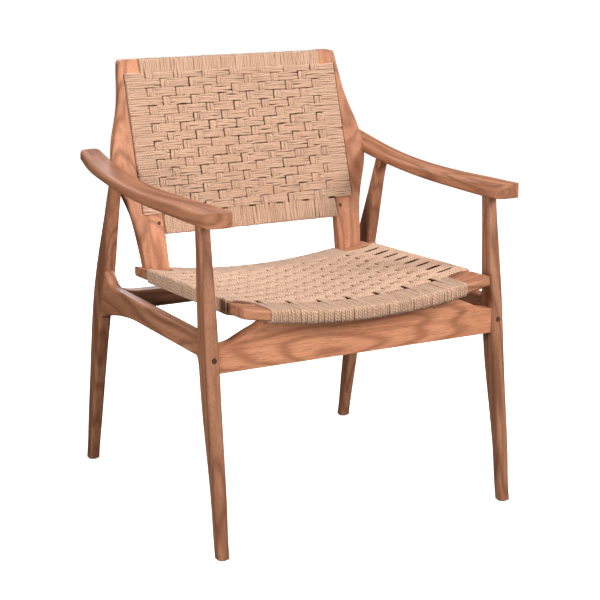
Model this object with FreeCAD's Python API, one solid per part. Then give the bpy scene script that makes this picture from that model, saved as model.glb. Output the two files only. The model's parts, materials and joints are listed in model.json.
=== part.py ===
import FreeCAD, Part
import math
import os

from FreeCAD import Vector

# Wooden armchair with a woven cord seat and back. Millimetres, +Z up.
# The chair faces -Y, and +X is on the right when seen from the front.
# Origin: floor level, centre of the footprint.

os.makedirs("parts", exist_ok=True)

# ---- driving dimensions -------------------------------------------------
GLIDE_T = 2.0                 # foot glide thickness
LEG_X_FOOT = 291.0            # leg centre line at the floor, from the middle
LEG_X_TOP = 288.0             # leg centre line under the armrest
LEG_TOP_Z = 578.0             # legs are lofted a little past the armrest underside
CORD = 3.0                    # thickness of one layer of cord on a rail

SIDE_RAIL_Z0 = 341.0
SIDE_RAIL_Z1 = 381.0
SIDE_RAIL_X0 = 279.0
SIDE_RAIL_X1 = 300.0

APRON_Z0 = 317.0
FRONT_APRON_Y = (-262.0, -236.0)
REAR_APRON_Y = (130.0, 154.0)

SEAT_HALF_W = 247.0
SEAT_Y0 = -296.0              # front face of the front seat rail
SEAT_Y1 = 159.0               # back face of the rear seat rail
SEAT_RAIL_T = 18.0
SEAT_FRONT_RAIL_D = 62.0
SEAT_REAR_RAIL_D = 56.0
SEAT_SIDE_RAIL_W = 48.0
SEAT_DISH_R = 1190.0          # radius of the dished seat across the chair
SEAT_TOP_Z = 407.0            # timber top at the middle of the front edge
SEAT_SLOPE = 2.1              # degrees, falling to the rear
SEAT_WRAP_X = 196.0           # cord on the front and rear rails ends here

BACK_Z_KNEE = 473.0           # lower edge of the woven panel
BACK_Y_KNEE = 146.0           # front plane of the back at that height
BACK_RAKE = 0.304             # run per rise of the back above the knee
BACK_FOOT_RAKE = 0.19         # run per rise below it
BACK_TOP_Z = 795.5
POST_T = 21.0                 # thickness of stiles and wings, measured along Y
STILE_X1 = 223.0              # outer edge of the stile, where the wing is glued
SLOT_Z = (511.0, 770.5)
SLOT_W = 6.0                  # slot between stile and wing, for the cord to pass
TOP_RAIL_Z = (769.0, 791.0)
LOWER_RAIL_Z = (477.0, 509.0)

DOWEL_R = 4.0
SCREW_R = 2.5


# ---- small helpers ------------------------------------------------------
def cylinder(radius, start, end):
    axis = end - start
    return Part.makeCylinder(radius, axis.Length, start, axis)


def box(x0, x1, y0, y1, z0, z1):
    return Part.makeBox(x1 - x0, y1 - y0, z1 - z0, Vector(x0, y0, z0))


def mirrored(shape):
    return shape.mirror(Vector(0, 0, 0), Vector(1, 0, 0))


def single(shape):
    """The biggest solid of a boolean result."""
    return max(shape.Solids, key=lambda s: s.Volume)


def curve(points):
    """One edge through the points: a line for two, a smooth curve for more."""
    vectors = [Vector(*p) for p in points]
    if len(vectors) == 2:
        return Part.makeLine(vectors[0], vectors[1])
    spline = Part.BSplineCurve()
    spline.interpolate(vectors)
    return spline.toShape()


def prism(runs, direction):
    """Solid from a closed outline given as runs of points, pushed along a vector.

    Each run is one smooth edge; a run starts where the one before it ended.
    """
    edges = [curve(run) for run in runs]
    face = Part.Face(Part.Wire(edges))
    return face.extrude(direction)


def side_prism(runs, x0, x1):
    """Outline in (y, z), pushed along X from x0 to x1."""
    runs3 = [[(x0, y, z) for y, z in run] for run in runs]
    return prism(runs3, Vector(x1 - x0, 0, 0))


def front_prism(runs, y0, y1):
    """Outline in (x, z), pushed along Y from y0 to y1."""
    runs3 = [[(x, y0, z) for x, z in run] for run in runs]
    return prism(runs3, Vector(0, y1 - y0, 0))


def plan_prism(runs, z0, z1):
    """Outline in (x, y), pushed along Z from z0 to z1."""
    runs3 = [[(x, y, z0) for x, y in run] for run in runs]
    return prism(runs3, Vector(0, 0, z1 - z0))


def rounded_section(xc, yc, z, width, depth, radius):
    """Horizontal rounded rectangle as a wire."""
    x0, x1 = xc - width / 2, xc + width / 2
    y0, y1 = yc - depth / 2, yc + depth / 2
    r = radius
    k = r * (1 - math.sqrt(0.5))
    corners = [
        ((x1 - r, y0), (x1 - k, y0 + k), (x1, y0 + r)),
        ((x1, y1 - r), (x1 - k, y1 - k), (x1 - r, y1)),
        ((x0 + r, y1), (x0 + k, y1 - k), (x0, y1 - r)),
        ((x0, y0 + r), (x0 + k, y0 + k), (x0 + r, y0)),
    ]
    edges = []
    for i, (a, b, c) in enumerate(corners):
        edges.append(Part.Arc(Vector(*a, z), Vector(*b, z), Vector(*c, z)).toShape())
        following = corners[(i + 1) % 4][0]
        edges.append(Part.makeLine(Vector(*c, z), Vector(*following, z)))
    return Part.Wire(edges)


def fillet_where(shape, radius, test):
    """Round every edge for which test(edge) is true."""
    edges = [e for e in shape.Edges if test(e)]
    return shape.makeFillet(radius, edges)


def back_y(z):
    """Y of the front plane of the back at height z."""
    if z >= BACK_Z_KNEE:
        return BACK_Y_KNEE + BACK_RAKE * (z - BACK_Z_KNEE)
    return BACK_Y_KNEE + BACK_FOOT_RAKE * (z - BACK_Z_KNEE)


def back_slab(offset0, offset1, x0, x1, z0, z1):
    """Slab that follows the back's side profile; offsets are measured behind its front plane."""
    heights = [z0, z1]
    if z0 < BACK_Z_KNEE < z1:
        heights.insert(1, BACK_Z_KNEE)
    front = [(back_y(z) + offset0, z) for z in heights]
    rear = [(back_y(z) + offset1, z) for z in reversed(heights)]
    loop = front + rear
    runs = [[loop[i], loop[(i + 1) % len(loop)]] for i in range(len(loop))]
    return side_prism(runs, x0, x1)


def dish(x, top=SEAT_TOP_Z):
    """Rise of a concentric dished surface above its middle, at distance x from the middle."""
    radius = SEAT_DISH_R - (top - SEAT_TOP_Z)
    return radius - math.sqrt(radius ** 2 - x ** 2)


def seat_band(x0, x1, y0, y1, top, thickness):
    """Curved board across the chair between two concentric cylinders."""
    def arc(z_middle, xa, xb):
        points = []
        for x in (xa, (xa + xb) / 2, xb):
            points.append(Vector(x, y0, z_middle + dish(x, z_middle)))
        return Part.Arc(*points).toShape()

    bottom = top - thickness
    upper, lower = arc(top, x0, x1), arc(bottom, x1, x0)
    ends = [
        curve([(x1, y0, top + dish(x1, top)), (x1, y0, bottom + dish(x1, bottom))]),
        curve([(x0, y0, bottom + dish(x0, bottom)), (x0, y0, top + dish(x0, top))]),
    ]
    face = Part.Face(Part.Wire([upper, ends[0], lower, ends[1]]))
    return face.extrude(Vector(0, y1 - y0, 0))


def tilted(shape):
    """Turn a piece from the level seat frame to the seat's backward slope."""
    turned = shape.copy()
    turned.rotate(Vector(0, SEAT_Y0, SEAT_TOP_Z), Vector(1, 0, 0), -SEAT_SLOPE)
    return turned


def long_edges(shape, axis, length):
    """Edges at least `length` long along one axis (0 X, 1 Y, 2 Z)."""
    found = []
    for edge in shape.Edges:
        bb = edge.BoundBox
        if (bb.XLength, bb.YLength, bb.ZLength)[axis] >= length:
            found.append(edge)
    return found


# ---- legs (right side; the left side is mirrored) ------------------------
def leg(sections, z_top):
    wires = []
    for z, yc, depth in sections:
        share = z / z_top
        xc = LEG_X_FOOT + (LEG_X_TOP - LEG_X_FOOT) * share
        swell = math.sin(math.pi * min(max(share, 0.0), 1.0))
        width = 21.0 + 3.0 * swell + 1.0 * share
        wires.append(rounded_section(xc, yc, z, width, depth, 5.5))
    return Part.makeLoft(wires, True, False)


FRONT_LEG = [
    (GLIDE_T, -294.0, 22.0),
    (90.0, -283.5, 23.5),
    (180.0, -270.0, 29.0),
    (270.0, -256.0, 36.0),
    (350.0, -247.5, 38.0),
    (430.0, -240.5, 33.0),
    (506.0, -233.5, 25.0),
    (LEG_TOP_Z + 4.0, -227.0, 20.0),
]
REAR_LEG = [
    (GLIDE_T, 294.0, 22.0),
    (90.0, 276.0, 26.0),
    (180.0, 257.5, 31.0),
    (270.0, 238.5, 39.0),
    (350.0, 218.5, 46.0),
    (430.0, 194.0, 42.0),
    (512.0, 167.0, 26.5),
    (LEG_TOP_Z + 16.0, 136.0, 20.0),
]
front_leg = leg(FRONT_LEG, LEG_TOP_Z)
rear_leg = leg(REAR_LEG, LEG_TOP_Z)


# ---- armrest --------------------------------------------------------------
def arm_section(y, x0, x1, z0, z1, radius):
    """Rounded rectangle standing in the XZ plane at y."""
    flat = rounded_section((x0 + x1) / 2, (z0 + z1) / 2, 0, x1 - x0, z1 - z0, radius)
    flat.rotate(Vector(0, 0, 0), Vector(1, 0, 0), 90)
    flat.translate(Vector(0, y, 0))
    return flat


ARM_SECTIONS = [
    (-304.0, 258.0, 313.0, 571.5, 597.5),
    (-240.0, 258.0, 313.5, 569.0, 595.5),
    (-170.0, 260.0, 314.0, 569.0, 594.0),
    (-105.0, 262.0, 315.0, 569.5, 592.5),
    (-50.0, 264.0, 316.5, 570.5, 592.0),
    (0.0, 265.5, 318.0, 572.5, 592.5),
    (60.0, 266.5, 318.5, 576.5, 595.5),
    (106.0, 267.0, 318.5, 581.0, 599.5),
    (150.0, 267.5, 318.0, 586.0, 605.0),
    (190.0, 268.0, 317.5, 591.5, 611.5),
    (226.0, 268.5, 315.0, 598.5, 619.0),
    (268.0, 269.0, 310.0, 609.0, 630.0),
]
arm_body = Part.makeLoft([arm_section(*s, 7.0) for s in ARM_SECTIONS], True, False)
ARM_PLAN = [
    [(259.0, 240.0), (259.0, -279.0)],
    [(259.0, -279.0), (264.5, -292.0), (278.0, -298.0)],
    [(278.0, -298.0), (293.0, -297.5)],
    [(293.0, -297.5), (306.5, -292.0), (312.5, -278.0)],
    [(312.5, -278.0), (320.0, -200.0)],
    [(320.0, -200.0), (320.0, 244.0)],
    [(320.0, 244.0), (314.0, 256.0), (302.0, 262.0)],
    [(302.0, 262.0), (281.0, 263.0)],
    [(281.0, 263.0), (269.0, 256.0), (259.0, 240.0)],
]
armrest = single(arm_body.common(plan_prism(ARM_PLAN, 550.0, 650.0)))

# ---- back posts: an inner stile with an outer wing glued to it ------------
STILE_OUTLINE = [
    [(STILE_X1, 396.0), (STILE_X1, BACK_TOP_Z)],
    [(STILE_X1, BACK_TOP_Z), (194.0, BACK_TOP_Z)],
    [(194.0, BACK_TOP_Z), (185.0, 396.0)],
    [(185.0, 396.0), (STILE_X1, 396.0)],
]
WING_OUTLINE = [
    [(STILE_X1, 396.0), (STILE_X1, SLOT_Z[0])],
    [(STILE_X1, SLOT_Z[0]), (STILE_X1 + SLOT_W, SLOT_Z[0] + 3.0)],
    [(STILE_X1 + SLOT_W, SLOT_Z[0] + 3.0), (STILE_X1 + SLOT_W, SLOT_Z[1] - 3.0)],
    [(STILE_X1 + SLOT_W, SLOT_Z[1] - 3.0), (STILE_X1, SLOT_Z[1])],
    [(STILE_X1, SLOT_Z[1]), (STILE_X1, BACK_TOP_Z)],
    [(STILE_X1, BACK_TOP_Z), (230.0, 793.5), (235.0, 788.0)],
    [(235.0, 788.0), (238.5, 765.0), (242.0, 738.0), (247.0, 711.0), (254.5, 685.0),
     (263.0, 660.0), (269.5, 635.0), (273.0, 612.0), (273.0, 590.0), (268.5, 568.0),
     (261.0, 547.0), (254.0, 527.0), (248.5, 508.0), (244.0, 486.0), (240.0, 460.0),
     (236.0, 430.0), (232.0, 396.0)],
    [(232.0, 396.0), (STILE_X1, 396.0)],
]
post_slab = back_slab(0.0, POST_T, 180.0, 280.0, 396.0, BACK_TOP_Z)
stile_blank = single(front_prism(STILE_OUTLINE, 100.0, 300.0).common(post_slab))
wing_blank = single(front_prism(WING_OUTLINE, 100.0, 300.0).common(post_slab))


def is_wing_rim(edge):
    bb = edge.BoundBox
    return bb.ZLength > 250.0 and bb.XMax > 250.0


def is_stile_inner(edge):
    bb = edge.BoundBox
    return bb.ZLength > 40.0 and bb.XMax < 200.0


wing_blank = fillet_where(wing_blank, 6.0, is_wing_rim)
stile_blank = fillet_where(stile_blank, 3.0, is_stile_inner)

# ---- seat frame, drawn level and then tilted ------------------------------
front_rail_y = (SEAT_Y0, SEAT_Y0 + SEAT_FRONT_RAIL_D)
rear_rail_y = (SEAT_Y1 - SEAT_REAR_RAIL_D, SEAT_Y1)
side_rail_x = (SEAT_HALF_W - CORD - SEAT_SIDE_RAIL_W, SEAT_HALF_W - CORD)


def cross_rail(y_range):
    rail = seat_band(-SEAT_HALF_W, SEAT_HALF_W, *y_range, SEAT_TOP_Z, SEAT_RAIL_T)
    return rail.makeFillet(4.0, long_edges(rail, 0, 2 * SEAT_HALF_W - 20.0))


level_front_rail = cross_rail(front_rail_y)
level_rear_rail = cross_rail(rear_rail_y)
level_side_rail = seat_band(*side_rail_x, front_rail_y[1], rear_rail_y[0], SEAT_TOP_Z, SEAT_RAIL_T)

cord_top = SEAT_TOP_Z + CORD
cord_t = SEAT_RAIL_T + 2 * CORD
inner_x = side_rail_x[0] - 5.0
wrap_front = seat_band(-SEAT_WRAP_X, SEAT_WRAP_X, SEAT_Y0 - CORD, front_rail_y[1] + 5.0, cord_top, cord_t)
wrap_front = wrap_front.makeFillet(5.0, [
    e for e in long_edges(wrap_front, 0, 2 * SEAT_WRAP_X - 20.0) if e.BoundBox.YMax < SEAT_Y0
])
wrap_rear = seat_band(-184.0, 184.0, rear_rail_y[0] - 5.0, SEAT_Y1 + CORD, cord_top, cord_t)
wrap_rear = wrap_rear.makeFillet(5.0, [
    e for e in long_edges(wrap_rear, 0, 350.0) if e.BoundBox.YMin > SEAT_Y1
])
wrap_right = seat_band(inner_x, SEAT_HALF_W, front_rail_y[1], rear_rail_y[0], cord_top, cord_t)
sheet = seat_band(-inner_x, inner_x, front_rail_y[1], rear_rail_y[0], cord_top, 2 * CORD)
level_weave = sheet.fuse([wrap_front, wrap_rear, wrap_right, mirrored(wrap_right)])
level_weave = level_weave.cut(Part.makeCompound([
    level_front_rail, level_rear_rail, level_side_rail, mirrored(level_side_rail),
]))

seat_front_rail = tilted(level_front_rail)
seat_rear_rail = tilted(level_rear_rail)
seat_side_rail = tilted(level_side_rail)
seat_weave = tilted(single(level_weave))
seat_envelope = tilted(seat_band(-260.0, 260.0, SEAT_Y0 - 10.0, SEAT_Y1 + 10.0, cord_top + 60.0, cord_t + 60.0))

# ---- side rails and aprons -------------------------------------------------
SIDE_RAIL = [
    [(-246.0, 318.0), (-229.0, 318.0), (-225.0, 333.0), (-210.0, SIDE_RAIL_Z0)],
    [(-210.0, SIDE_RAIL_Z0), (20.0, SIDE_RAIL_Z0)],
    [(20.0, SIDE_RAIL_Z0), (64.0, 340.0), (106.0, 335.5), (150.0, 327.5), (216.0, 308.0)],
    [(216.0, 308.0), (192.0, 428.0)],
    [(192.0, 428.0), (178.0, 406.0), (164.0, 391.0), (148.0, 383.5), (126.0, SIDE_RAIL_Z1)],
    [(126.0, SIDE_RAIL_Z1), (-212.0, SIDE_RAIL_Z1)],
    [(-212.0, SIDE_RAIL_Z1), (-222.0, 384.5), (-227.0, 394.0), (-244.0, 395.0)],
    [(-244.0, 395.0), (-246.0, 318.0)],
]
side_rail = side_prism(SIDE_RAIL, SIDE_RAIL_X0, SIDE_RAIL_X1)


def is_rail_rim(edge):
    """The long rims of the side rail, not its ends inside the legs."""
    bb = edge.BoundBox
    inside_leg = bb.YMin > 190.0 or bb.YMax < -240.0
    return bb.XLength < 0.1 and not inside_leg


side_rail = fillet_where(side_rail, 5.0, is_rail_rim)

FRONT_APRON = [
    [(-286.0, APRON_Z0), (286.0, APRON_Z0)],
    [(286.0, APRON_Z0), (286.0, 362.0)],
    [(286.0, 362.0), (270.0, 363.5), (252.0, 367.0), (236.0, 374.0), (219.0, 382.0),
     (204.0, 388.0), (194.0, 394.0), (184.0, 404.0), (176.0, 418.0)],
    [(176.0, 418.0), (-176.0, 418.0)],
    [(-176.0, 418.0), (-184.0, 404.0), (-194.0, 394.0), (-204.0, 388.0), (-219.0, 382.0),
     (-236.0, 374.0), (-252.0, 367.0), (-270.0, 363.5), (-286.0, 362.0)],
    [(-286.0, 362.0), (-286.0, APRON_Z0)],
]
REAR_APRON = [
    [(-SIDE_RAIL_X0, SIDE_RAIL_Z0), (SIDE_RAIL_X0, SIDE_RAIL_Z0)],
    [(SIDE_RAIL_X0, SIDE_RAIL_Z0), (SIDE_RAIL_X0, 380.0)],
    [(SIDE_RAIL_X0, 380.0), (268.0, 377.0), (240.0, 375.0), (205.0, 375.0), (180.0, 379.0),
     (160.0, 387.0), (146.0, 400.0)],
    [(146.0, 400.0), (-146.0, 400.0)],
    [(-146.0, 400.0), (-160.0, 387.0), (-180.0, 379.0), (-205.0, 375.0), (-240.0, 375.0),
     (-268.0, 377.0), (-SIDE_RAIL_X0, 380.0)],
    [(-SIDE_RAIL_X0, 380.0), (-SIDE_RAIL_X0, SIDE_RAIL_Z0)],
]
front_apron = front_prism(FRONT_APRON, *FRONT_APRON_Y).cut(seat_envelope)
rear_apron = front_prism(REAR_APRON, *REAR_APRON_Y).cut(seat_envelope)

# ---- back rails and cord ----------------------------------------------------
back_top_rail = back_slab(0.0, POST_T, -196.0, 196.0, *TOP_RAIL_Z)
back_lower_rail = back_slab(0.0, POST_T, -190.0, 190.0, *LOWER_RAIL_Z)
posts = Part.makeCompound([stile_blank, mirrored(stile_blank)])
back_top_rail = single(back_top_rail.cut(posts))
back_lower_rail = single(back_lower_rail.cut(posts))

back_sheet = back_slab(-CORD, CORD, -STILE_X1, STILE_X1, *SLOT_Z)
back_panel = back_slab(-CORD, CORD, -184.0, 184.0, BACK_Z_KNEE, 795.0)
top_wrap = back_slab(-CORD, POST_T + CORD, -192.5, 192.5, TOP_RAIL_Z[0] - 5.0, 795.0)
lower_wrap = back_slab(-CORD, POST_T + CORD, -184.5, 184.5, BACK_Z_KNEE, LOWER_RAIL_Z[1] + 5.0)
stile_wrap = back_slab(-CORD, POST_T + CORD, 182.0, STILE_X1 + CORD, SLOT_Z[0] + 3.5, SLOT_Z[1] - 3.5)
back_weave = back_sheet.fuse([back_panel, top_wrap, lower_wrap, stile_wrap, mirrored(stile_wrap)])
back_weave = single(back_weave.cut(Part.makeCompound([
    stile_blank, mirrored(stile_blank), back_top_rail, back_lower_rail,
])))

# ---- fasteners and small parts, right side ----------------------------------
foot_y = (FRONT_LEG[0][1], REAR_LEG[0][1])
glides = []
for yc in foot_y:
    disc = cylinder(9.0, Vector(LEG_X_FOOT, yc, 0), Vector(LEG_X_FOOT, yc, GLIDE_T))
    pin = cylinder(1.5, Vector(LEG_X_FOOT, yc, GLIDE_T), Vector(LEG_X_FOOT, yc, GLIDE_T + 14.0))
    glides.append(disc.fuse(pin).removeSplitter())

arm_dowels = [
    cylinder(DOWEL_R, Vector(288.0, -229.0, 546.0), Vector(288.0, -229.0, 583.0)),
    cylinder(DOWEL_R, Vector(288.0, 148.0, 556.0), Vector(288.0, 143.0, 597.0)),
]
side_rail_dowels = []
for z in (357.0, 371.0):
    side_rail_dowels.append(cylinder(DOWEL_R, Vector(289.5, -254.0, z), Vector(289.5, -204.0, z)))
    side_rail_dowels.append(cylinder(DOWEL_R, Vector(289.5, 160.0, z), Vector(289.5, 214.0, z)))

apron_dowels = []
for z in (327.0, 344.0):
    apron_dowels.append(cylinder(DOWEL_R, Vector(252.0, -249.0, z), Vector(293.0, -249.0, z)))
for z in (349.0, 367.0):
    apron_dowels.append(cylinder(DOWEL_R, Vector(252.0, 142.0, z), Vector(294.0, 142.0, z)))

seat_dowels = []
for x in (206.0, 234.0):
    z = SEAT_TOP_Z - SEAT_RAIL_T / 2 + dish(x)
    for joint_y in (front_rail_y[1], rear_rail_y[0]):
        pin = cylinder(DOWEL_R, Vector(x, joint_y - 24.0, z), Vector(x, joint_y + 24.0, z))
        seat_dowels.append(tilted(pin))

back_dowels = []
for z in (sum(TOP_RAIL_Z) / 2, sum(LOWER_RAIL_Z) / 2):
    y = back_y(z) + POST_T / 2
    back_dowels.append(cylinder(DOWEL_R, Vector(166.0, y, z), Vector(212.0, y, z)))

post_foot_dowel = cylinder(
    DOWEL_R,
    Vector(204.0, back_y(398.0) + POST_T / 2, 398.0),
    Vector(204.0, back_y(440.0) + POST_T / 2, 440.0),
)
wing_dowel_y = back_y(602.0) + POST_T / 2
wing_dowel = cylinder(DOWEL_R, Vector(252.0, wing_dowel_y, 602.0), Vector(292.0, wing_dowel_y, 602.0))


def seat_screw(x, y, z_head, z_tip):
    head = cylinder(5.0, Vector(x, y, z_head), Vector(x, y, z_head + 4.0))
    shank = cylinder(SCREW_R, Vector(x, y, z_head + 4.0), Vector(x, y, z_tip))
    return head.fuse(shank).removeSplitter()


seat_screws = [seat_screw(150.0, -249.0, 345.0, 410.0), seat_screw(110.0, 142.0, 354.0, 388.0)]
screw_pockets = [
    cylinder(6.0, Vector(150.0, -249.0, APRON_Z0 - 1.0), Vector(150.0, -249.0, 345.0)),
    cylinder(6.0, Vector(110.0, 142.0, SIDE_RAIL_Z0 - 1.0), Vector(110.0, 142.0, 354.0)),
]

NAIL_COUNT = 12
nail_x = side_rail_x[0]
nail_z = SEAT_TOP_Z - SEAT_RAIL_T / 2 + dish(nail_x)
cord_nails = []
for i in range(NAIL_COUNT):
    y = front_rail_y[1] + 20.0 + i * 27.0
    nail = cylinder(1.2, Vector(nail_x - 3.0, y, nail_z), Vector(nail_x + 12.0, y, nail_z))
    cord_nails.append(tilted(nail))

leg_plug = cylinder(5.0, Vector(288.0, -280.0, 342.0), Vector(288.0, -261.0, 342.0)).common(front_leg)
plug_y = back_y(495.0)
stile_plug = cylinder(3.5, Vector(198.0, plug_y - 3.0, 495.0), Vector(198.0, plug_y + 5.0, 495.0))
stile_plug = stile_plug.common(stile_blank)


# ---- fit the pieces to each other --------------------------------------------
def both_sides(shapes):
    return shapes + [mirrored(s) for s in shapes]


def bored(shape, tools):
    return single(shape.cut(Part.makeCompound(tools)))


armrest_bored = bored(armrest, arm_dowels + [wing_dowel, wing_blank])
front_leg_bored = bored(
    front_leg, [armrest] + arm_dowels + side_rail_dowels + apron_dowels + glides + [leg_plug]
)
rear_leg_bored = bored(rear_leg, [armrest] + arm_dowels + side_rail_dowels + glides)
side_rail_bored = bored(side_rail, [front_leg, rear_leg] + side_rail_dowels + apron_dowels)
legs = both_sides([front_leg])
front_apron = bored(front_apron, legs + both_sides(apron_dowels + seat_screws + screw_pockets))
rear_apron = bored(rear_apron, both_sides(apron_dowels + seat_screws + screw_pockets))
seat_front_rail = bored(seat_front_rail, both_sides(seat_dowels + seat_screws))
seat_rear_rail = bored(seat_rear_rail, both_sides(seat_dowels + seat_screws + [post_foot_dowel]))
seat_side_bored = bored(seat_side_rail, seat_dowels + cord_nails)
seat_weave = bored(seat_weave, both_sides(seat_screws + cord_nails))
stile = bored(stile_blank, [seat_rear_rail, post_foot_dowel, stile_plug] + back_dowels)
wing = bored(wing_blank, [seat_rear_rail, wing_dowel])
back_top_rail = bored(back_top_rail, both_sides(back_dowels))
back_lower_rail = bored(back_lower_rail, both_sides(back_dowels))

# ---- write the nodes ------------------------------------------------------------
sided = {
    "front_leg": front_leg_bored,
    "rear_leg": rear_leg_bored,
    "side_rail": side_rail_bored,
    "armrest": armrest_bored,
    "seat_side_rail": seat_side_bored,
    "back_stile": stile,
    "back_wing": wing,
}
nodes = {
    "front_apron": front_apron,
    "rear_apron": rear_apron,
    "seat_front_rail": seat_front_rail,
    "seat_rear_rail": seat_rear_rail,
    "seat_cord_weave": seat_weave,
    "back_top_rail": back_top_rail,
    "back_lower_rail": back_lower_rail,
    "back_cord_weave": back_weave,
}
groups = {
    "foot_glides": glides,
    "arm_dowels": arm_dowels,
    "side_rail_dowels": side_rail_dowels,
    "apron_dowels": apron_dowels,
    "seat_frame_dowels": seat_dowels,
    "back_frame_dowels": back_dowels,
    "post_foot_dowels": [post_foot_dowel],
    "wing_dowels": [wing_dowel],
    "seat_screws": seat_screws,
    "seat_cord_nails": cord_nails,
    "leg_plugs": [single(leg_plug)],
    "stile_plugs": [single(stile_plug)],
}
for name, shape in sided.items():
    nodes["right_" + name] = shape
    nodes["left_" + name] = mirrored(shape)
for name, members in groups.items():
    nodes[name] = Part.makeCompound(both_sides(members))

for name, shape in nodes.items():
    print(name, "solids", len(shape.Solids), "valid", shape.isValid(), "cm3", round(shape.Volume / 1000, 2))
    shape.exportStep(f"parts/{name}.step")
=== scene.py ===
import json
import math

import bpy
import numpy as np
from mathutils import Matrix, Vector


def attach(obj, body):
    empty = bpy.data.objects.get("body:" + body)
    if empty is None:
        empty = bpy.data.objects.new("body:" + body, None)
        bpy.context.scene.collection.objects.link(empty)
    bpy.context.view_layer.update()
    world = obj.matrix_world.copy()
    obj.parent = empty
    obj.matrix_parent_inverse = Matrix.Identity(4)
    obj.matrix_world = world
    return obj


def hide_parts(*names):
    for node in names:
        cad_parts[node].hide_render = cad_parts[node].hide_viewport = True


# Looks of the wooden armchair: wood grain on the CAD pieces, and the woven cord of the
# seat and the back made strand by strand. Metres, in the frame of the CAD.

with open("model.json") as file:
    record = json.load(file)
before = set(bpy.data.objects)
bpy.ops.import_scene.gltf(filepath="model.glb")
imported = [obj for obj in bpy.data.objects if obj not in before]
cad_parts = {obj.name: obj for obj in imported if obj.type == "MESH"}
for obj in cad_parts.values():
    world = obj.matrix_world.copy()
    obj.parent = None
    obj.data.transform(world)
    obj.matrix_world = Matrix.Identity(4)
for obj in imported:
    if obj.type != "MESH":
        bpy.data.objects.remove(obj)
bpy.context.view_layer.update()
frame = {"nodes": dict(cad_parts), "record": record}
rng = np.random.default_rng(11)

# ---- places of the seat and back timber, from the part's driving dimensions ---------
KNEE_Z = 0.473                # the back's front plane passes through (KNEE_Y, KNEE_Z)
KNEE_Y = 0.146
RAKE = 0.304                  # run per rise of the back
RAKE_SIN = RAKE / math.hypot(1.0, RAKE)
RAKE_COS = 1.0 / math.hypot(1.0, RAKE)
POST_T = 0.021                # thickness of the back timber along Y
STILE_X = 0.223               # outer edge of a stile, where the slot is
STILE_INNER = ((0.396, 0.185), (0.797, 0.194))   # (z, x) at its two ends
LOWER_RAIL_Z = (0.477, 0.509)
TOP_RAIL_Z = (0.769, 0.791)
TOP_RAIL_X = 0.193
LOWER_RAIL_X = 0.186

SEAT_R = 1.190                # radius of the dished seat
SEAT_TOP_Z = 0.407            # top of the timber, middle of the front edge
SEAT_SLOPE = math.radians(2.1)
SEAT_T = 0.018
FRONT_RAIL_Y = (-0.296, -0.234)
REAR_RAIL_Y = (0.103, 0.159)
REAR_RAIL_X = 0.1845
SIDE_RAIL_X = (0.196, 0.244)
RAIL_ROUND = 0.004            # rounded edges of the front and rear seat rails

# ---- cord -----------------------------------------------------------------------------
WARP_R = 0.0019
WARP_PITCH = 0.00375          # between the strands of a group
STRANDS = 4                   # strands in a warp group, and in a full weft row
GROUPS = 13                   # warp groups across the chair
BACK_GROUP_PITCH = 0.0298
SEAT_GROUP_PITCH = 0.0295
ROW_PITCH_BACK = 0.0164
BACK_ROWS_Z0 = 0.5112         # lower edge of the lowest weft row of the back
BACK_ROWS = 15                # full rows; a narrower one lies above them
TOP_ROW_STRANDS = 3
TOP_ROW_WIDTH = 0.0123
ROW_PITCH_SEAT = 0.01833
SEAT_ROWS_Y0 = -0.231
SEAT_ROWS = 18
WEFT_FULLNESS = 0.54          # radius of a weft strand over its pitch
WEFT_FIELD_RUN = 3            # the run of a weft's path that crosses the woven field

RISE_WARP = 0.0015            # a warp strand's lift where it lies over a weft row
SINK_WARP = 0.0030            # and its drop where it runs under one
RISE_WEFT = 0.0008            # the same for a weft strand at a warp group
SINK_WEFT = 0.0029
WARP_STEP = 0.0052            # length over which a strand changes level
WEFT_STEP = 0.0036
WARP_LEAD = 0.0004            # a warp strand comes up this far inside the row it lies over
DIVE_SHARE = 0.4              # and dives early, by this share of the opening beside it
PIT_BACK = 0.0019             # opening beside a warp group, where the weft ducks under it
PIT_SEAT = 0.0046
SETTLE_LEFT = 0.0065          # past the outermost groups the wefts come down onto the timber
SETTLE_RIGHT = 0.0045

BUNCH = 0.09                  # share by which the strands of a row draw together at a crossing
BUNCH_REACH = 0.013
PINCH = 0.16                  # the same for a warp group, where it passes between two rows
PINCH_REACH = 0.006
SIDE_SQUEEZE = 0.21           # the same for two seat rows, on top of a side rail
SIDE_SQUEEZE_X = 0.217        # middle of that place, and its reach either way
SIDE_SQUEEZE_REACH = 0.018
SIDE_DIP = 0.0012             # drop of the strand in front of the slit between two such pairs
FRONT_SQUEEZE = 0.36          # every other warp group closes up to its right on the front rail
FRONT_SQUEEZE_BEFORE = 0.006  # middle of that place, in front of the first weft row
FRONT_SQUEEZE_REACH = 0.032
WANDER = 0.00050              # how far a strand strays from its line
RADIUS_WANDER = 0.07          # and its radius from the nominal one, as a share
KNOT_RINGS = 7                # rings from one free choice of a wander to the next

BACK_TAIL = 0.004             # gap from the end of a back warp strand to its rail's edge
STILE_TAIL = 0.006            # depth on the inner face of a stile at which a weft ends
SEAT_TAIL = 0.007             # depth on the inner face of a seat rail at which a strand ends
COIL_ROUNDING = 0.35          # added before the turns that fit a free span are rounded down

SHADE_SHEET_BACK = 0.0023          # height of the sheet of painted shade in the middle of the weave, above the timber plane
SHADE_SHEET_SEAT = 0.0030
SHADE_SHEET_FRONT_RAIL = 0.0021
SHADE_SHEET_RISE = 0.0003          # the seat's lies higher over the side rails
SHADE_SHEET_RISE_REACH = 0.008
SHADE_SHEET_MARGIN = 0.004         # its edge lies this far inside the cord's
SHADE_SHEET_T = 0.0004
SHADE_SHEET_GRID = (48, 40)
SIDES = 8                     # corners of a cord's section
FINE_STEP = 0.0029            # ring spacing in the woven field
COARSE_STEP = 0.0080          # ring spacing on straight wraps
CORNER_RINGS = 4


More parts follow.
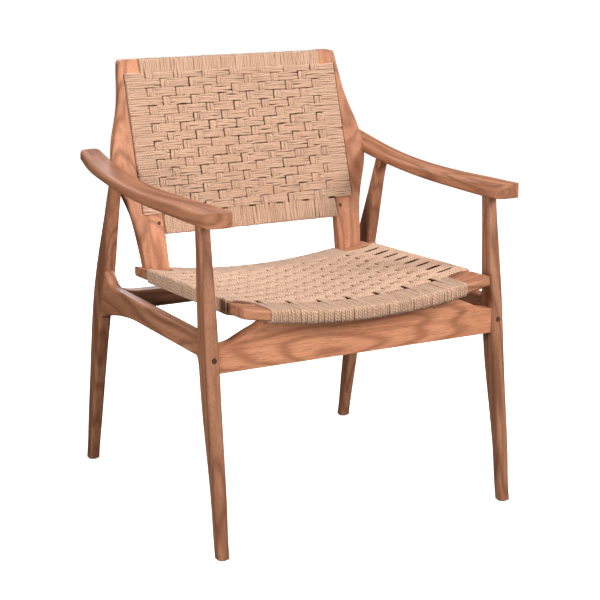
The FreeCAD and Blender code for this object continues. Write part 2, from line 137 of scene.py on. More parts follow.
def lerp(pair_a, pair_b, t):
    """Value at t on the line through two (t, value) pairs."""
    (t0, v0), (t1, v1) = pair_a, pair_b
    return v0 + (v1 - v0) * (t - t0) / (t1 - t0)


def back_y(z):
    return KNEE_Y + RAKE * (z - KNEE_Z)


def back_points(x, z, depth):
    """Points on the raked back; depth is square to its front plane, positive behind it."""
    return np.stack([x, back_y(z) + depth * RAKE_COS, z - depth * RAKE_SIN], axis=1)


def seat_points(x, y, height):
    """Points on the dished, sloping seat; height is above the top of the timber."""
    up = SEAT_R - np.sqrt(SEAT_R ** 2 - x ** 2) + height
    along = y - FRONT_RAIL_Y[0]
    cos, sin = math.cos(SEAT_SLOPE), math.sin(SEAT_SLOPE)
    return np.stack(
        [x, FRONT_RAIL_Y[0] + along * cos + up * sin, SEAT_TOP_Z - along * sin + up * cos], axis=1
    )


# ---- paths round timber, in two dimensions --------------------------------------------
def wrap_path(corners, gap, turn, fine_run=None, rounding=0.0):
    """Path through the corners of a piece of timber, kept `gap` off its faces.

    turn is 1 or -1 for the side on which the open air lies. Gives the points, their
    outward directions, and the number of the run each lies on, or -1 on a corner.
    """
    corners = np.array(corners, float)
    runs = np.diff(corners, axis=0)
    lengths = np.linalg.norm(runs, axis=1)
    runs /= lengths[:, None]
    out = np.stack([-runs[:, 1], runs[:, 0]], axis=1) * turn
    last = len(runs) - 1
    points, outward, which = [], [], []
    inset = 0.0
    for i in range(last + 1):
        following = 0.0
        if i < last:
            angle = math.acos(max(-1.0, min(1.0, float(runs[i] @ runs[i + 1]))))
            following = rounding * math.tan(angle / 2)
        span = lengths[i] - inset - following
        step = FINE_STEP if i == fine_run else COARSE_STEP
        count = max(2, int(round(span / step)) + 1)
        for t in np.linspace(inset, inset + span, count):
            points.append(corners[i] + runs[i] * t + out[i] * gap)
            outward.append(out[i])
            which.append(i)
        if i < last:
            centre = corners[i + 1] - rounding * (out[i] + out[i + 1]) / (1 + out[i] @ out[i + 1])
            for t in np.arange(1, CORNER_RINGS) / CORNER_RINGS:
                normal = out[i] * math.sin((1 - t) * angle) + out[i + 1] * math.sin(t * angle)
                normal /= math.sin(angle)
                points.append(centre + (rounding + gap) * normal)
                outward.append(normal)
                which.append(-1)
        inset = following
    return np.array(points), np.array(outward), np.array(which)


def levels(t, edges, heights, blur):
    """Piecewise constant height along t: heights[i] lies before edges[i], with soft steps."""
    height = np.full(len(t), heights[0], float)
    for edge, before, after in zip(edges, heights[:-1], heights[1:]):
        share = np.clip((t - edge) / blur + 0.5, 0, 1)
        height += (after - before) * share * share * (3 - 2 * share)
    return height


def drift(count, size):
    """Slow wander of a strand, smooth along it."""
    knots = rng.normal(0.0, size, max(4, count // KNOT_RINGS))
    place = np.linspace(0, len(knots) - 1, count)
    i = np.minimum(place.astype(int), len(knots) - 2)
    share = place - i
    share = share * share * (3 - 2 * share)
    return knots[i] * (1 - share) + knots[i + 1] * share


# ---- meshes of many round cords --------------------------------------------------------
def ring_directions(path):
    """Two directions across the path at each point, carried along it without twist."""
    tangent = np.gradient(path, axis=0)
    tangent /= np.linalg.norm(tangent, axis=1, keepdims=True)
    normal = np.array([0.0, 0.0, 1.0])
    if abs(tangent[0][2]) > 0.8:
        normal = np.array([1.0, 0.0, 0.0])
    normals = np.empty_like(path)
    for i, direction in enumerate(tangent):
        normal = normal - (normal @ direction) * direction
        normal /= np.linalg.norm(normal)
        normals[i] = normal
    return normals, np.cross(tangent, normals)


def add_piece(name, mesh, finish, node):
    """A visible piece on the chair's one body, standing in for a soft CAD solid."""
    mesh.materials.append(finish)
    piece = bpy.data.objects.new(name, mesh)
    bpy.context.scene.collection.objects.link(piece)
    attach(piece, "root")
    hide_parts(node)


def cord_mesh(name, strands, finish, node):
    """One object of round cords; strands is a list of (points, radius).

    The UV map runs round the cord in u and along it, in metres, in v.
    """
    angles = np.arange(SIDES) * 2 * math.pi / SIDES
    corner = np.arange(SIDES)
    verts, quads, uvs, tints = [], [], [], []
    base = 0
    for path, radius in strands:
        normals, binormals = ring_directions(path)
        radii = radius * (1 + drift(len(path), RADIUS_WANDER))
        ring = np.cos(angles)[None, :, None] * normals[:, None, :]
        ring = ring + np.sin(angles)[None, :, None] * binormals[:, None, :]
        verts.append((path[:, None, :] + radii[:, None, None] * ring).reshape(-1, 3))
        steps = np.linalg.norm(np.diff(path, axis=0), axis=1)
        v = np.concatenate([[0.0], np.cumsum(steps)]) + rng.uniform(0, 1)
        i, j = [a.ravel() for a in np.meshgrid(np.arange(len(path) - 1), corner, indexing="ij")]
        k = (j + 1) % SIDES
        quad = np.stack([i * SIDES + j, i * SIDES + k, (i + 1) * SIDES + k, (i + 1) * SIDES + j], 1)
        quads.append(quad + base)
        u0, u1 = j / SIDES, (j + 1) / SIDES
        uv = np.stack([u0, v[i], u1, v[i], u1, v[i + 1], u0, v[i + 1]], axis=1)
        uvs.append(uv.reshape(-1))
        tints.append(np.full(len(path) * SIDES, rng.uniform(0, 1)))
        base += len(path) * SIDES
    verts, quads = np.concatenate(verts), np.concatenate(quads)
    mesh = bpy.data.meshes.new(name)
    mesh.vertices.add(len(verts))
    mesh.vertices.foreach_set("co", verts.ravel())
    mesh.loops.add(quads.size)
    mesh.loops.foreach_set("vertex_index", quads.ravel())
    mesh.polygons.add(len(quads))
    mesh.polygons.foreach_set("loop_start", np.arange(0, quads.size, 4))
    mesh.update(calc_edges=True)
    mesh.polygons.foreach_set("use_smooth", np.ones(len(quads), bool))
    mesh.uv_layers.new(name="cord").data.foreach_set("uv", np.concatenate(uvs))
    mesh.attributes.new("tint", "FLOAT", "POINT").data.foreach_set("value", np.concatenate(tints))
    add_piece(name, mesh, finish, node)


# ---- the weave ---------------------------------------------------------------------------
def spread(count, pitch):
    """Positions of `count` things at a pitch, centred on 0."""
    return (np.arange(count) - (count - 1) / 2) * pitch


def weft_rows(first_edge, pitch, count, extra=()):
    """Edges of the weft rows across the field, the extra ones being narrower or wider."""
    return np.concatenate([first_edge + pitch * np.arange(count + 1), np.array(extra, float)])


def fading(distance, reach, plateau=1.0):
    """1 at no distance, falling to 0 at the reach; a plateau above 1 widens the top."""
    return np.clip(plateau - (distance / reach) ** 2, 0, 1)


def is_warp_over(group, row, phase):
    return (group + row + phase) % 2 == 1


def warp_levels(t, edges, group, phase, pit):
    """Height of a warp strand over and under the weft rows; 0 beyond them."""
    heights, steps = [0.0], []
    for row, edge in enumerate(edges[:-1]):
        over = is_warp_over(group, row, phase)
        heights.append(RISE_WARP if over else -SINK_WARP)
        steps.append(edge + WARP_LEAD if over else edge - DIVE_SHARE * pit)
    return levels(t, steps + [edges[-1]], heights + [0.0], WARP_STEP)


def weft_levels(x, centres, row, phase, pit):
    """Height of a weft strand: level, but ducking under the groups that lie over it."""
    half = STRANDS * WARP_PITCH / 2
    edges, heights = [centres[0] - half - SETTLE_LEFT], [0.0, RISE_WEFT]
    for group, centre in enumerate(centres):
        if is_warp_over(group, row, phase):
            edges += [centre - half - pit, centre + half + pit / 4]
            heights += [-SINK_WEFT, RISE_WEFT]
    edges.append(centres[-1] + half + SETTLE_RIGHT)
    return levels(x, edges, heights + [0.0], WEFT_STEP)


def bunching(x, centres):
    """1 at the middle of each crossing, falling to 0 between the warp groups."""
    nearest = np.min(np.abs(x[:, None] - centres[None, :]), axis=1)
    return fading(nearest, BUNCH_REACH)


def free_spans(half_width, centres):
    """Stretches of a rail between the warp groups, and past the outermost ones."""
    half = STRANDS * WARP_PITCH / 2
    edges = [-half_width] + [e for c in centres for e in (c - half, c + half)] + [half_width]
    return [(edges[i], edges[i + 1]) for i in range(0, len(edges), 2)]


def coils(corners, half_width, centres, place, rounding=0.0):
    """Spacer cord coiled round a rail wherever no warp group lies.

    place turns x and the two coordinates of the rail's section into points.
    """
    made = []
    for x0, x1 in free_spans(half_width, centres):
        turns = int((x1 - x0) / WARP_PITCH + COIL_ROUNDING)
        if turns < 1:
            continue
        ring = [corners[0]] + corners[1:-1] * turns + [corners[-1]]
        path, outward, _ = wrap_path(ring, WARP_R, 1, None, rounding)
        steps = np.linalg.norm(np.diff(path, axis=0), axis=1)
        share = np.concatenate([[0.0], np.cumsum(steps)]) / steps.sum()
        x = x0 + share * (x1 - x0) + drift(len(path), WANDER)
        path = path + outward * np.abs(drift(len(path), WANDER))[:, None]
        made.append((place(x, path[:, 0], path[:, 1]), WARP_R))
    return made


def warp_strands(profile, field_run, axis, edges, phase, pit, centres, place, rounding=0.0,
                 squeeze=0.0):
    """Every warp strand: round one rail, through the woven field, round the other rail.

    The field is run number field_run of the profile, and its rows are counted along `axis`.
    """
    made = []
    for group, centre in enumerate(centres):
        for offset in spread(STRANDS, WARP_PITCH):
            path, outward, which = wrap_path(profile, WARP_R, 1, field_run, rounding)
            field = which == field_run
            height = warp_levels(path[field, axis], edges, group, phase, pit)
            path[field] += outward[field] * height[:, None]
            along = path[:, axis]
            to_edge = np.min(np.abs(along[:, None] - edges[None, :]), axis=1)
            pinch = PINCH * fading(to_edge, PINCH_REACH) * field
            x = centre + offset * (1 - pinch) + drift(len(path), WANDER)
            if group % 2 == 0:
                from_rail = along - edges[0] + FRONT_SQUEEZE_BEFORE
                near = fading(from_rail, FRONT_SQUEEZE_REACH, 1.2) * field
                x = x + squeeze * near * (STRANDS * WARP_PITCH / 2 - offset)
            made.append((place(x, path[:, 0], path[:, 1]), WARP_R))
    return made


def weft_strands(section_at, turn, edges, counts, phase, pit, centres, place, paired=False):
    """Every weft strand: round one side, through the field, round the other side.

    Paired rows close up to each other on top of the side rails.
    """
    made = []
    for row, count in enumerate(counts):
        middle = (edges[row] + edges[row + 1]) / 2
        pitch = (edges[row + 1] - edges[row]) / count
        for offset in spread(count, pitch):
            radius = pitch * WEFT_FULLNESS
            section = section_at(middle + offset)
            path, outward, which = wrap_path(section, radius, turn, WEFT_FIELD_RUN)
            field = which == WEFT_FIELD_RUN
            x = path[:, 0]
            height = weft_levels(x[field], centres, row, phase, pit)
            path[field] += outward[field] * height[:, None]
            across = offset * (1 - BUNCH * bunching(x, centres) * field)
            if paired:
                near = fading(np.abs(x) - SIDE_SQUEEZE_X, SIDE_SQUEEZE_REACH, 1.3) * field
                pair_middle = edges[row + 1] if row % 2 == 0 else edges[row]
                across = across - SIDE_SQUEEZE * near * (middle + offset - pair_middle)
                if row % 2 == 1 and offset > pitch:
                    path -= outward * (SIDE_DIP * near)[:, None]
            line = middle + across + drift(len(path), WANDER)
            made.append((place(path[:, 0], line, path[:, 1]), radius))
    return made


def painted_shade_mesh(name, sheet, finish, node):
    """Thin closed near-black sheet in the middle of a weave, painted shade for the gaps between
    strands; sheet(u, v, face) gives its points.
    """
    across, up = SHADE_SHEET_GRID
    grid = np.meshgrid(np.linspace(0, 1, across), np.linspace(0, 1, up), indexing="ij")
    u, v = [a.ravel() for a in grid]
    verts = np.concatenate([sheet(u, v, -1), sheet(u, v, 1)])
    count = across * up
    faces = []
    for i in range(across - 1):
        for j in range(up - 1):
            a, b, c, d = i * up + j, (i + 1) * up + j, (i + 1) * up + j + 1, i * up + j + 1
            faces += [(a, b, c, d), (a + count, d + count, c + count, b + count)]
    rim = [i * up for i in range(across)] + [(across - 1) * up + j for j in range(1, up)]
    rim += [i * up + up - 1 for i in range(across - 2, -1, -1)] + [j for j in range(up - 2, 0, -1)]
    for a, b in zip(rim, rim[1:] + rim[:1]):
        faces.append((b, a, a + count, b + count))
    mesh = bpy.data.meshes.new(name)
    mesh.from_pydata([tuple(p) for p in verts], [], faces)
    add_piece(name, mesh, finish, node)


def plain_points(x, y, z):
    return np.stack([x, y, z], axis=1)


def weave_back():
    centres = spread(GROUPS, BACK_GROUP_PITCH)
    last_edge = BACK_ROWS_Z0 + ROW_PITCH_BACK * BACK_ROWS
    edges = weft_rows(BACK_ROWS_Z0, ROW_PITCH_BACK, BACK_ROWS, [last_edge + TOP_ROW_WIDTH])
    counts = [STRANDS] * BACK_ROWS + [TOP_ROW_STRANDS]
    phase = 0
    lower, top = LOWER_RAIL_Z, TOP_RAIL_Z
    profile = [
        (back_y(lower[1]) + POST_T, lower[1] - BACK_TAIL),
        (back_y(lower[0]) + POST_T, lower[0]),
        (back_y(lower[0]), lower[0]),
        (back_y(top[1]), top[1]),
        (back_y(top[1]) + POST_T, top[1]),
        (back_y(top[0]) + POST_T, top[0] + BACK_TAIL),
    ]
    warp = warp_strands(profile, 2, 1, edges, phase, PIT_BACK, centres, plain_points)
    rear = POST_T * RAKE_COS

    def section_at(z):
        inner = lerp(*STILE_INNER, z)
        half = [(inner, STILE_TAIL), (inner, rear), (STILE_X, rear), (STILE_X, 0.0)]
        return [(-x, depth) for x, depth in half] + half[::-1]

    weft = weft_strands(section_at, -1, edges, counts, phase, PIT_BACK, centres, back_points)

    def rail_section(z0, z1):
        low, middle, high = back_y(z0), back_y((z0 + z1) / 2), back_y(z1)
        start = (middle + POST_T, (z0 + z1) / 2)
        return [start, (low + POST_T, z0), (low, z0), (high, z1), (high + POST_T, z1), start]

    wraps = coils(rail_section(*top), TOP_RAIL_X, centres, plain_points)
    wraps += coils(rail_section(*lower), LOWER_RAIL_X, centres, plain_points)

    # sheet of painted shade between the back's strands
    def sheet(u, v, face):
        z = LOWER_RAIL_Z[1] + (TOP_RAIL_Z[0] - LOWER_RAIL_Z[1]) * v
        x = (2 * u - 1) * (lerp(*STILE_INNER, z) - 0.001)
        return back_points(x, z, -SHADE_SHEET_BACK - face * SHADE_SHEET_T / 2)

    return warp, weft, wraps, [sheet]


def weave_seat():
    centres = spread(GROUPS, SEAT_GROUP_PITCH)
    edges = weft_rows(SEAT_ROWS_Y0, ROW_PITCH_SEAT, SEAT_ROWS)
    counts = [STRANDS] * SEAT_ROWS
    phase = 1
    front, rear, side = FRONT_RAIL_Y, REAR_RAIL_Y, SIDE_RAIL_X
    profile = [
        (front[1], -SEAT_TAIL), (front[1], -SEAT_T), (front[0], -SEAT_T), (front[0], 0.0),
        (rear[1], 0.0), (rear[1], -SEAT_T), (rear[0], -SEAT_T), (rear[0], -SEAT_TAIL),
    ]
    warp = warp_strands(
        profile, 3, 0, edges, phase, PIT_SEAT, centres, seat_points, RAIL_ROUND, FRONT_SQUEEZE
    )

    def section_at(_):
        half = [(side[0], -SEAT_TAIL), (side[0], -SEAT_T), (side[1], -SEAT_T), (side[1], 0.0)]
        return [(-x, height) for x, height in half] + half[::-1]

    weft = weft_strands(
        section_at, 1, edges, counts, phase, PIT_SEAT, centres, seat_points, paired=True
    )

    def rail_section(y0, y1):
        middle = (y1, -SEAT_T / 2)
        return [middle, (y1, -SEAT_T), (y0, -SEAT_T), (y0, 0.0), (y1, 0.0), middle]

    wraps = coils(rail_section(*front), side[0], centres, seat_points, RAIL_ROUND)
    wraps += coils(rail_section(*rear), REAR_RAIL_X, centres, seat_points, RAIL_ROUND)

    # sheets of painted shade under the seat's strands, raised over the side rails so the slits there
    # look dark
    def sheet_between(half_width, y0, y1, middle):
        def sheet(u, v, face):
            x, y = (2 * u - 1) * half_width, y0 + (y1 - y0) * v
            over_side = np.clip((np.abs(x) - side[0]) / SHADE_SHEET_RISE_REACH, 0, 1)
            height = middle + SHADE_SHEET_RISE * over_side + face * SHADE_SHEET_T / 2
            return seat_points(x, y, height)

        return sheet

    field = sheet_between(
        side[1] - SHADE_SHEET_MARGIN, SEAT_ROWS_Y0 + 0.001, rear[0] - 0.006, SHADE_SHEET_SEAT
    )
    over_rail = sheet_between(
        side[0] - SHADE_SHEET_MARGIN, front[0] + 0.012, SEAT_ROWS_Y0, SHADE_SHEET_FRONT_RAIL
    )
    return warp, weft, wraps, [field, over_rail]


# ---- node materials -----------------------------------------------------------------------
OBJECT_PLACE = 3              # Texture Coordinate output: object coordinates
OBJECT_RANDOM = 5             # Object Info output: a number of the piece's own
TRUE_NORMAL = 1               # Geometry output
VECTOR_VALUE = 1              # the number that a Vector Math node gives
ATTRIBUTE_VALUE = 2           # the number that an Attribute node gives
PLIES = 3                     # of the twisted cord
LAY = 0.016                   # length of one turn of a ply


class Shader:
    """A material's node tree, with one call per node."""

    def __init__(self, name):
        self.material = bpy.data.materials.new(name)
        self.material.use_nodes = True
        self.tree = self.material.node_tree
        self.tree.nodes.clear()
        self.bsdf = self.tree.nodes.new("ShaderNodeBsdfPrincipled")
        output = self.tree.nodes.new("ShaderNodeOutputMaterial")
        self.tree.links.new(self.bsdf.outputs[0], output.inputs[0])

    def put(self, socket, value):
        if isinstance(value, bpy.types.NodeSocket):
            self.tree.links.new(value, socket)
        else:
            socket.default_value = value

    def node(self, kind, out=0, settings=None, **inputs):
        """New node; inputs are given by name, or as in0, in1 ... by number."""
        made = self.tree.nodes.new("ShaderNode" + kind)
        for key, value in (settings or {}).items():
            setattr(made, key, value)
        for key, value in inputs.items():
            socket = made.inputs[int(key[2:])] if key.startswith("in") else made.inputs[key]
            self.put(socket, value)
        return made.outputs[out]

    def math(self, operation, a, b=0.0):
        return self.node("Math", settings={"operation": operation}, in0=a, in1=b)

    def mix(self, factor, a, b):
        made = self.tree.nodes.new("ShaderNodeMix")
        made.data_type = "RGBA"
        self.put(made.inputs[0], factor)
        self.put(made.inputs[6], a)
        self.put(made.inputs[7], b)
        return made.outputs[2]

    def noise(self, vector, scale, detail=2.0, roughness=0.5, distortion=0.0):
        return self.node("TexNoise", Vector=vector, Scale=scale, Detail=detail,
                         Roughness=roughness, Distortion=distortion)

    def remap(self, value, low, high, to_low=0.0, to_high=1.0):
        return self.node("MapRange", in0=value, in1=low, in2=high, in3=to_low, in4=to_high)

    def bump(self, height, strength, distance, normal=None):
        made = self.tree.nodes.new("ShaderNodeBump")
        self.put(made.inputs["Height"], height)
        made.inputs["Strength"].default_value = strength
        made.inputs["Distance"].default_value = distance
        if normal is not None:
            self.put(made.inputs["Normal"], normal)
        return made.outputs[0]

    def sharp_edges(self, radius):
        """1 on sharp edges, 0 on flats, and the rounded normal."""
        rounded = self.node("Bevel", settings={"samples": 4}, Radius=radius)
        true = self.node("NewGeometry", out=TRUE_NORMAL)
        same = self.node(
            "VectorMath", out=VECTOR_VALUE, settings={"operation": "DOT_PRODUCT"}, in0=rounded, in1=true
        )
        return self.remap(same, 0.995, 0.86), rounded


def toned(colour, tone):
    """The colour made paler or darker, with the alpha a socket asks for."""
    return tuple(tone * c for c in colour[:3]) + (1.0,)


def wood(name, grain, light, mid, dark, rough=0.52):
    """Oiled wood with its grain along one axis: 0 X, 1 Y, 2 Z."""
    s = Shader(name)
    place = s.node("TexCoord", out=OBJECT_PLACE)
    chance = s.node("ObjectInfo", out=OBJECT_RANDOM)
    shift = s.node("VectorMath", settings={"operation": "SCALE"}, in0=(3.1, 5.3, 7.7), Scale=chance)
    place = s.node("VectorMath", settings={"operation": "ADD"}, in0=place, in1=shift)

    def stretched(along):
        scale = [1.0, 1.0, 1.0]
        scale[grain] = along
        return s.node("VectorMath", settings={"operation": "MULTIPLY"}, in0=place, in1=tuple(scale))

    field = s.noise(stretched(0.13), 9.0, 2.0, 0.45, 0.25)
    rings = s.math("SINE", s.math("MULTIPLY", field, 95.0))
    rings = s.remap(rings, -1.0, 1.0)
    late = s.math("POWER", rings, 2.6)
    fibre = s.noise(stretched(0.018), 620.0, 3.0, 0.6)
    streak = s.noise(stretched(0.03), 95.0, 3.0, 0.6)
    patch = s.noise(stretched(0.35), 7.0, 2.0, 0.5)
    pores = s.remap(s.noise(stretched(0.045), 1100.0, 1.0, 0.4), 0.62, 0.70)

    colour = s.mix(s.remap(patch, 0.30, 0.70), mid, light)
    colour = s.mix(s.math("MULTIPLY", late, 0.62), colour, dark)
    colour = s.mix(s.remap(streak, 0.42, 0.75, 0.0, 0.55), colour, dark)
    colour = s.mix(s.remap(fibre, 0.30, 0.72, 0.30, 0.0), colour, dark)
    colour = s.mix(s.math("MULTIPLY", pores, 0.55), colour, toned(dark, 0.45))
    edge, rounded = s.sharp_edges(0.0016)
    # paler along the sharp edges
    colour = s.mix(s.math("MULTIPLY", edge, 0.35), colour, light)
    s.put(s.bsdf.inputs["Base Color"], colour)
    s.put(s.bsdf.inputs["Roughness"], s.remap(fibre, 0.2, 0.8, rough - 0.08, rough + 0.12))
    s.bsdf.inputs["Specular IOR Level"].default_value = 0.28
    height = s.math("SUBTRACT", s.math("MULTIPLY", fibre, 0.6), pores)
    s.put(s.bsdf.inputs["Normal"], s.bump(height, 0.35, 0.0004, rounded))
    return s.material


def cord(name, light, mid, dark, gloss=0.25):
    """Twisted natural cord, laid out on the UV map of cord_mesh."""
    s = Shader(name)
    place = s.node("UVMap", settings={"uv_map": "cord"})
    split = s.tree.nodes.new("ShaderNodeSeparateXYZ")
    s.put(split.inputs[0], place)
    around, along = split.outputs[0], split.outputs[1]
    turns = s.math("MULTIPLY", along, PLIES / LAY)
    phase = s.math("ADD", s.math("MULTIPLY", around, float(PLIES)), turns)
    ply = s.math("ABSOLUTE", s.math("SINE", s.math("MULTIPLY", phase, math.pi)))
    swell = s.math("POWER", ply, 0.6)
    tint = s.node("Attribute", out=ATTRIBUTE_VALUE, settings={"attribute_name": "tint"})
    solid = s.node("TexCoord", out=OBJECT_PLACE)
    mottle = s.noise(solid, 380.0, 3.0, 0.65)
    blotch = s.noise(solid, 22.0, 2.0, 0.5)
    fuzz = s.noise(solid, 1500.0, 2.0, 0.7)
    shade = s.math("ADD", s.math("MULTIPLY", tint, 0.5), s.math("MULTIPLY", blotch, 0.6))
    colour = s.mix(s.remap(shade, 0.2, 0.9), mid, light)
    colour = s.mix(s.remap(mottle, 0.44, 0.68, 0.0, 0.62), colour, dark)
    # painted shade in the grooves between the plies
    colour = s.mix(s.remap(swell, 0.15, 0.95, 0.85, 0.0), colour, dark)
    colour = s.mix(s.remap(fuzz, 0.55, 0.75, 0.0, 0.4), colour, light)
    s.put(s.bsdf.inputs["Base Color"], colour)
    s.put(s.bsdf.inputs["Roughness"], s.remap(fuzz, 0.2, 0.8, 0.72, 0.92))
    s.bsdf.inputs["Specular IOR Level"].default_value = gloss
    s.bsdf.inputs["Sheen Weight"].default_value = gloss
    s.bsdf.inputs["Sheen Roughness"].default_value = 0.5
    height = s.math("ADD", swell, s.math("MULTIPLY", fuzz, 0.5))
    s.put(s.bsdf.inputs["Normal"], s.bump(height, 0.9, 0.0009))
    return s.material


def metal(name, colour, dull, rough):
    """Plain metal hardware with faint turning marks and tarnish."""
    s = Shader(name)
    place = s.node("TexCoord", out=OBJECT_PLACE)
    tarnish = s.noise(place, 380.0, 3.0, 0.6)
    scratch = s.noise(place, 2400.0, 2.0, 0.6)
    s.put(s.bsdf.inputs["Base Color"], s.mix(s.remap(tarnish, 0.4, 0.75), colour, dull))
    s.put(s.bsdf.inputs["Roughness"], s.remap(scratch, 0.3, 0.7, rough, rough + 0.2))
    s.bsdf.inputs["Metallic"].default_value = 1.0
    s.put(s.bsdf.inputs["Normal"], s.bump(scratch, 0.2, 0.0001))
    return s.material


def moulded(name, colour, worn):
    """Moulded plastic with a fine spark texture and scuffed rims."""
    s = Shader(name)
    place = s.node("TexCoord", out=OBJECT_PLACE)
    grain = s.noise(place, 1800.0, 2.0, 0.5)
    scuff = s.noise(place, 150.0, 4.0, 0.65)
    edge, rounded = s.sharp_edges(0.0008)
    colour = s.mix(s.remap(scuff, 0.5, 0.8, 0.0, 0.5), colour, worn)
    s.put(s.bsdf.inputs["Base Color"], s.mix(s.math("MULTIPLY", edge, 0.5), colour, worn))
    s.put(s.bsdf.inputs["Roughness"], s.remap(scuff, 0.3, 0.7, 0.45, 0.7))
    s.put(s.bsdf.inputs["Normal"], s.bump(grain, 0.3, 0.0002, rounded))
    return s.material


WOOD_LIGHT = (0.62, 0.290, 0.160)
WOOD_MID = (0.46, 0.190, 0.098)
WOOD_DARK = (0.21, 0.075, 0.036)
GRAIN_AXIS = {"teak_upright": 2, "teak_lengthwise": 1, "teak_crosswise": 0}
TONE_AND_PAINTED_LIGHT = {                     # paler or darker copies of the teak: partly the boards' own tone, partly painted light and shade (the lit front apron, the shaded legs and rear apron)
    "left_back_stile": 1.16, "right_back_stile": 1.12, "front_apron": 1.45,
    "left_front_leg": 0.80, "right_front_leg": 0.80, "left_rear_leg": 0.86,
    "right_rear_leg": 0.82, "rear_apron": 0.85,
}
fittings = {
    "dowel_beech": wood(
        "dowel_beech_grain", 2, (0.66, 0.45, 0.28, 1), (0.55, 0.35, 0.20, 1), (0.36, 0.2, 0.11, 1)
    ),
    "plug_wood": wood(
        "plug_dark_grain", 2, (0.13, 0.050, 0.026, 1), (0.08, 0.03, 0.017, 1), (0.04, 0.016, 0.01, 1)
    ),
    "screw_steel": metal("screw_zinc", (0.62, 0.62, 0.60, 1), (0.36, 0.35, 0.33, 1), 0.28),
    "nail_brass": metal("nail_dull_brass", (0.72, 0.52, 0.24, 1), (0.42, 0.28, 0.12, 1), 0.35),
    "glide_plastic": moulded("glide_grey", (0.10, 0.09, 0.08, 1), (0.24, 0.22, 0.20, 1)),
}
timber = {}
for row in frame["record"]["subparts"]:
    name, slot = row["node"], row["material_slot"]
    if slot in fittings:
        finish = fittings[slot]
    elif slot in GRAIN_AXIS:
        # some pieces get a paler or darker copy of the teak, partly painted light and shade
        tone = TONE_AND_PAINTED_LIGHT.get(name, 1.0)
        if (slot, tone) not in timber:
            tints = [toned(c, tone) for c in (WOOD_LIGHT, WOOD_MID, WOOD_DARK)]
            timber[slot, tone] = wood(f"{slot}_{round(tone * 100)}", GRAIN_AXIS[slot], *tints)
        finish = timber[slot, tone]
    else:
        continue
    for material_slot in frame["nodes"][name].material_slots:
        material_slot.material = finish

cord_finish = cord(
    "twisted_cord", (0.82, 0.54, 0.375, 1), (0.68, 0.425, 0.285, 1), (0.27, 0.145, 0.085, 1)
)
# painted shade: a near-black sheet dressed as cord, put where only shade shows between the strands
painted_shade_finish = cord(
    "shaded_cord", (0.055, 0.028, 0.016, 1), (0.036, 0.018, 0.010, 1), (0.02, 0.01, 0.006, 1), gloss=0.0
)

for part, weave in (("back", weave_back()), ("seat", weave_seat())):
    slot, node = f"cord_{part}", f"{part}_cord_weave"
    warp, weft, wraps, sheets = weave
    cord_mesh(f"{part}_warp_cord", warp, cord_finish, node)
    cord_mesh(f"{part}_weft_cord", weft, cord_finish, node)
    cord_mesh(f"{part}_rail_wraps", wraps, cord_finish, node)
    # sheets of painted shade in the middle of each weave
    for number, sheet in enumerate(sheets):
        painted_shade_mesh(f"{part}_weave_filler_{number}", sheet, painted_shade_finish, node)


# ---- floor, light and camera ------------------------------------------------------------
def plain_stage(name, colour_a, colour_b, scale):
    """Matt material that glows white, for the floor and the surround; the caller sets how much."""
    shader = Shader(name)
    place = shader.node("TexCoord", out=OBJECT_PLACE)
    colour = shader.mix(shader.noise(place, scale, 3.0), colour_a, colour_b)
    shader.put(shader.bsdf.inputs["Base Color"], colour)
    shader.bsdf.inputs["Roughness"].default_value = 0.9
    shader.bsdf.inputs["Emission Color"].default_value = (1.0, 1.0, 1.0, 1.0)
    return shader


scene = bpy.context.scene
scene.view_settings.view_transform = "Standard"

bpy.ops.mesh.primitive_plane_add(size=40.0, location=(0.0, 0.0, 0.0))
floor = bpy.context.object
floor.name = "floor"
floor_shader = plain_stage("pale_floor", (0.74, 0.74, 0.74, 1), (0.77, 0.77, 0.77, 1), 3.0)
from_centre = floor_shader.node(
    "VectorMath", out=VECTOR_VALUE, settings={"operation": "LENGTH"},
    in0=floor_shader.node("TexCoord", out=OBJECT_PLACE),
)
glow = floor_shader.remap(from_centre, 0.6, 3.2, 0.66, 1.0)
floor_shader.put(floor_shader.bsdf.inputs["Emission Strength"], glow)
floor.data.materials.append(floor_shader.material)
floor.visible_diffuse = False
floor.visible_glossy = False

bpy.ops.mesh.primitive_uv_sphere_add(radius=30.0, segments=64, ring_count=32)
surround = bpy.context.object
surround.name = "white_surround"
surround_shader = plain_stage("white_surround", (0.0, 0.0, 0.0, 1), (0.0, 0.0, 0.0, 1), 1.0)
surround_shader.bsdf.inputs["Emission Strength"].default_value = 1.0
surround.data.materials.append(surround_shader.material)
surround.visible_diffuse = False
surround.visible_glossy = False
surround.visible_shadow = False
surround.visible_transmission = False

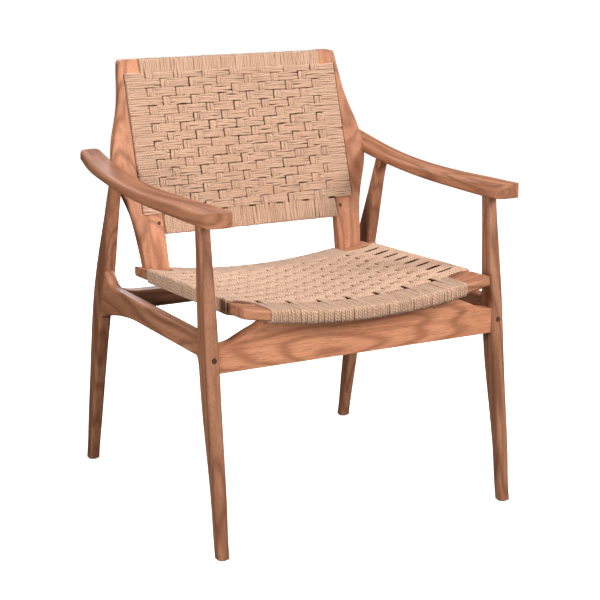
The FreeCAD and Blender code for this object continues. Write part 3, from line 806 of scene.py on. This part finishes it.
# Dim from below, brighter from above.
WORLD_HEIGHTS = (-0.2, 0.6)
WORLD_STRENGTHS = (0.13, 0.60)
world = bpy.data.worlds.new("studio")
scene.world = world
world.use_nodes = True
sky = world.node_tree
direction = sky.nodes.new("ShaderNodeTexCoord")
split = sky.nodes.new("ShaderNodeSeparateXYZ")
shade = sky.nodes.new("ShaderNodeMapRange")
sky.links.new(direction.outputs["Generated"], split.inputs[0])
sky.links.new(split.outputs[2], shade.inputs[0])
for number, value in enumerate(WORLD_HEIGHTS + WORLD_STRENGTHS):
    shade.inputs[number + 1].default_value = value
sky.links.new(shade.outputs[0], sky.nodes["Background"].inputs["Strength"])


def area_light(name, at, target, size, power, color=(1.0, 1.0, 1.0)):
    light = bpy.data.lights.new(name, "AREA")
    light.shape = "SQUARE"
    light.size = size
    light.energy = power
    light.color = color
    lamp = bpy.data.objects.new(name, light)
    lamp.location = at
    lamp.rotation_euler = (Vector(target) - Vector(at)).to_track_quat("-Z", "Y").to_euler()
    lamp.visible_camera = False
    scene.collection.objects.link(lamp)


WARM_WHITE = (1.0, 0.985, 0.96)
area_light("key", (1.45, -1.95, 1.60), (0.0, -0.05, 0.45), 0.7, 49.0, WARM_WHITE)
area_light("front", (-0.30, -2.80, 0.90), (0.0, 0.0, 0.40), 1.1, 28.0, WARM_WHITE)
area_light("top", (-0.25, -0.25, 2.3), (0.0, 0.0, 0.45), 1.2, 29.0)
area_light("left", (-1.55, -0.7, 0.75), (-0.25, 0.05, 0.40), 0.6, 17.0)
area_light("right", (1.70, 0.3, 0.80), (0.25, 0.05, 0.40), 0.7, 14.0)
area_light("rear", (0.30, 2.60, 1.30), (0.0, 0.1, 0.45), 1.2, 44.0)

CAM_AT = (-1.392, -2.565, 1.075)
CAM_YAW = 28.86               # degrees to the right of +Y
CAM_PITCH = 13.86             # degrees below level
CAM_FOCAL_OVER_WIDTH = 1593.2 / 600.0
data = bpy.data.cameras.new("camera")
data.sensor_fit = "HORIZONTAL"
data.sensor_width = 36.0
data.lens = data.sensor_width * CAM_FOCAL_OVER_WIDTH
camera = bpy.data.objects.new("camera", data)
camera.location = CAM_AT
camera.rotation_euler = (math.radians(90 - CAM_PITCH), 0.0, math.radians(-CAM_YAW))
scene.collection.objects.link(camera)
scene.camera = camera
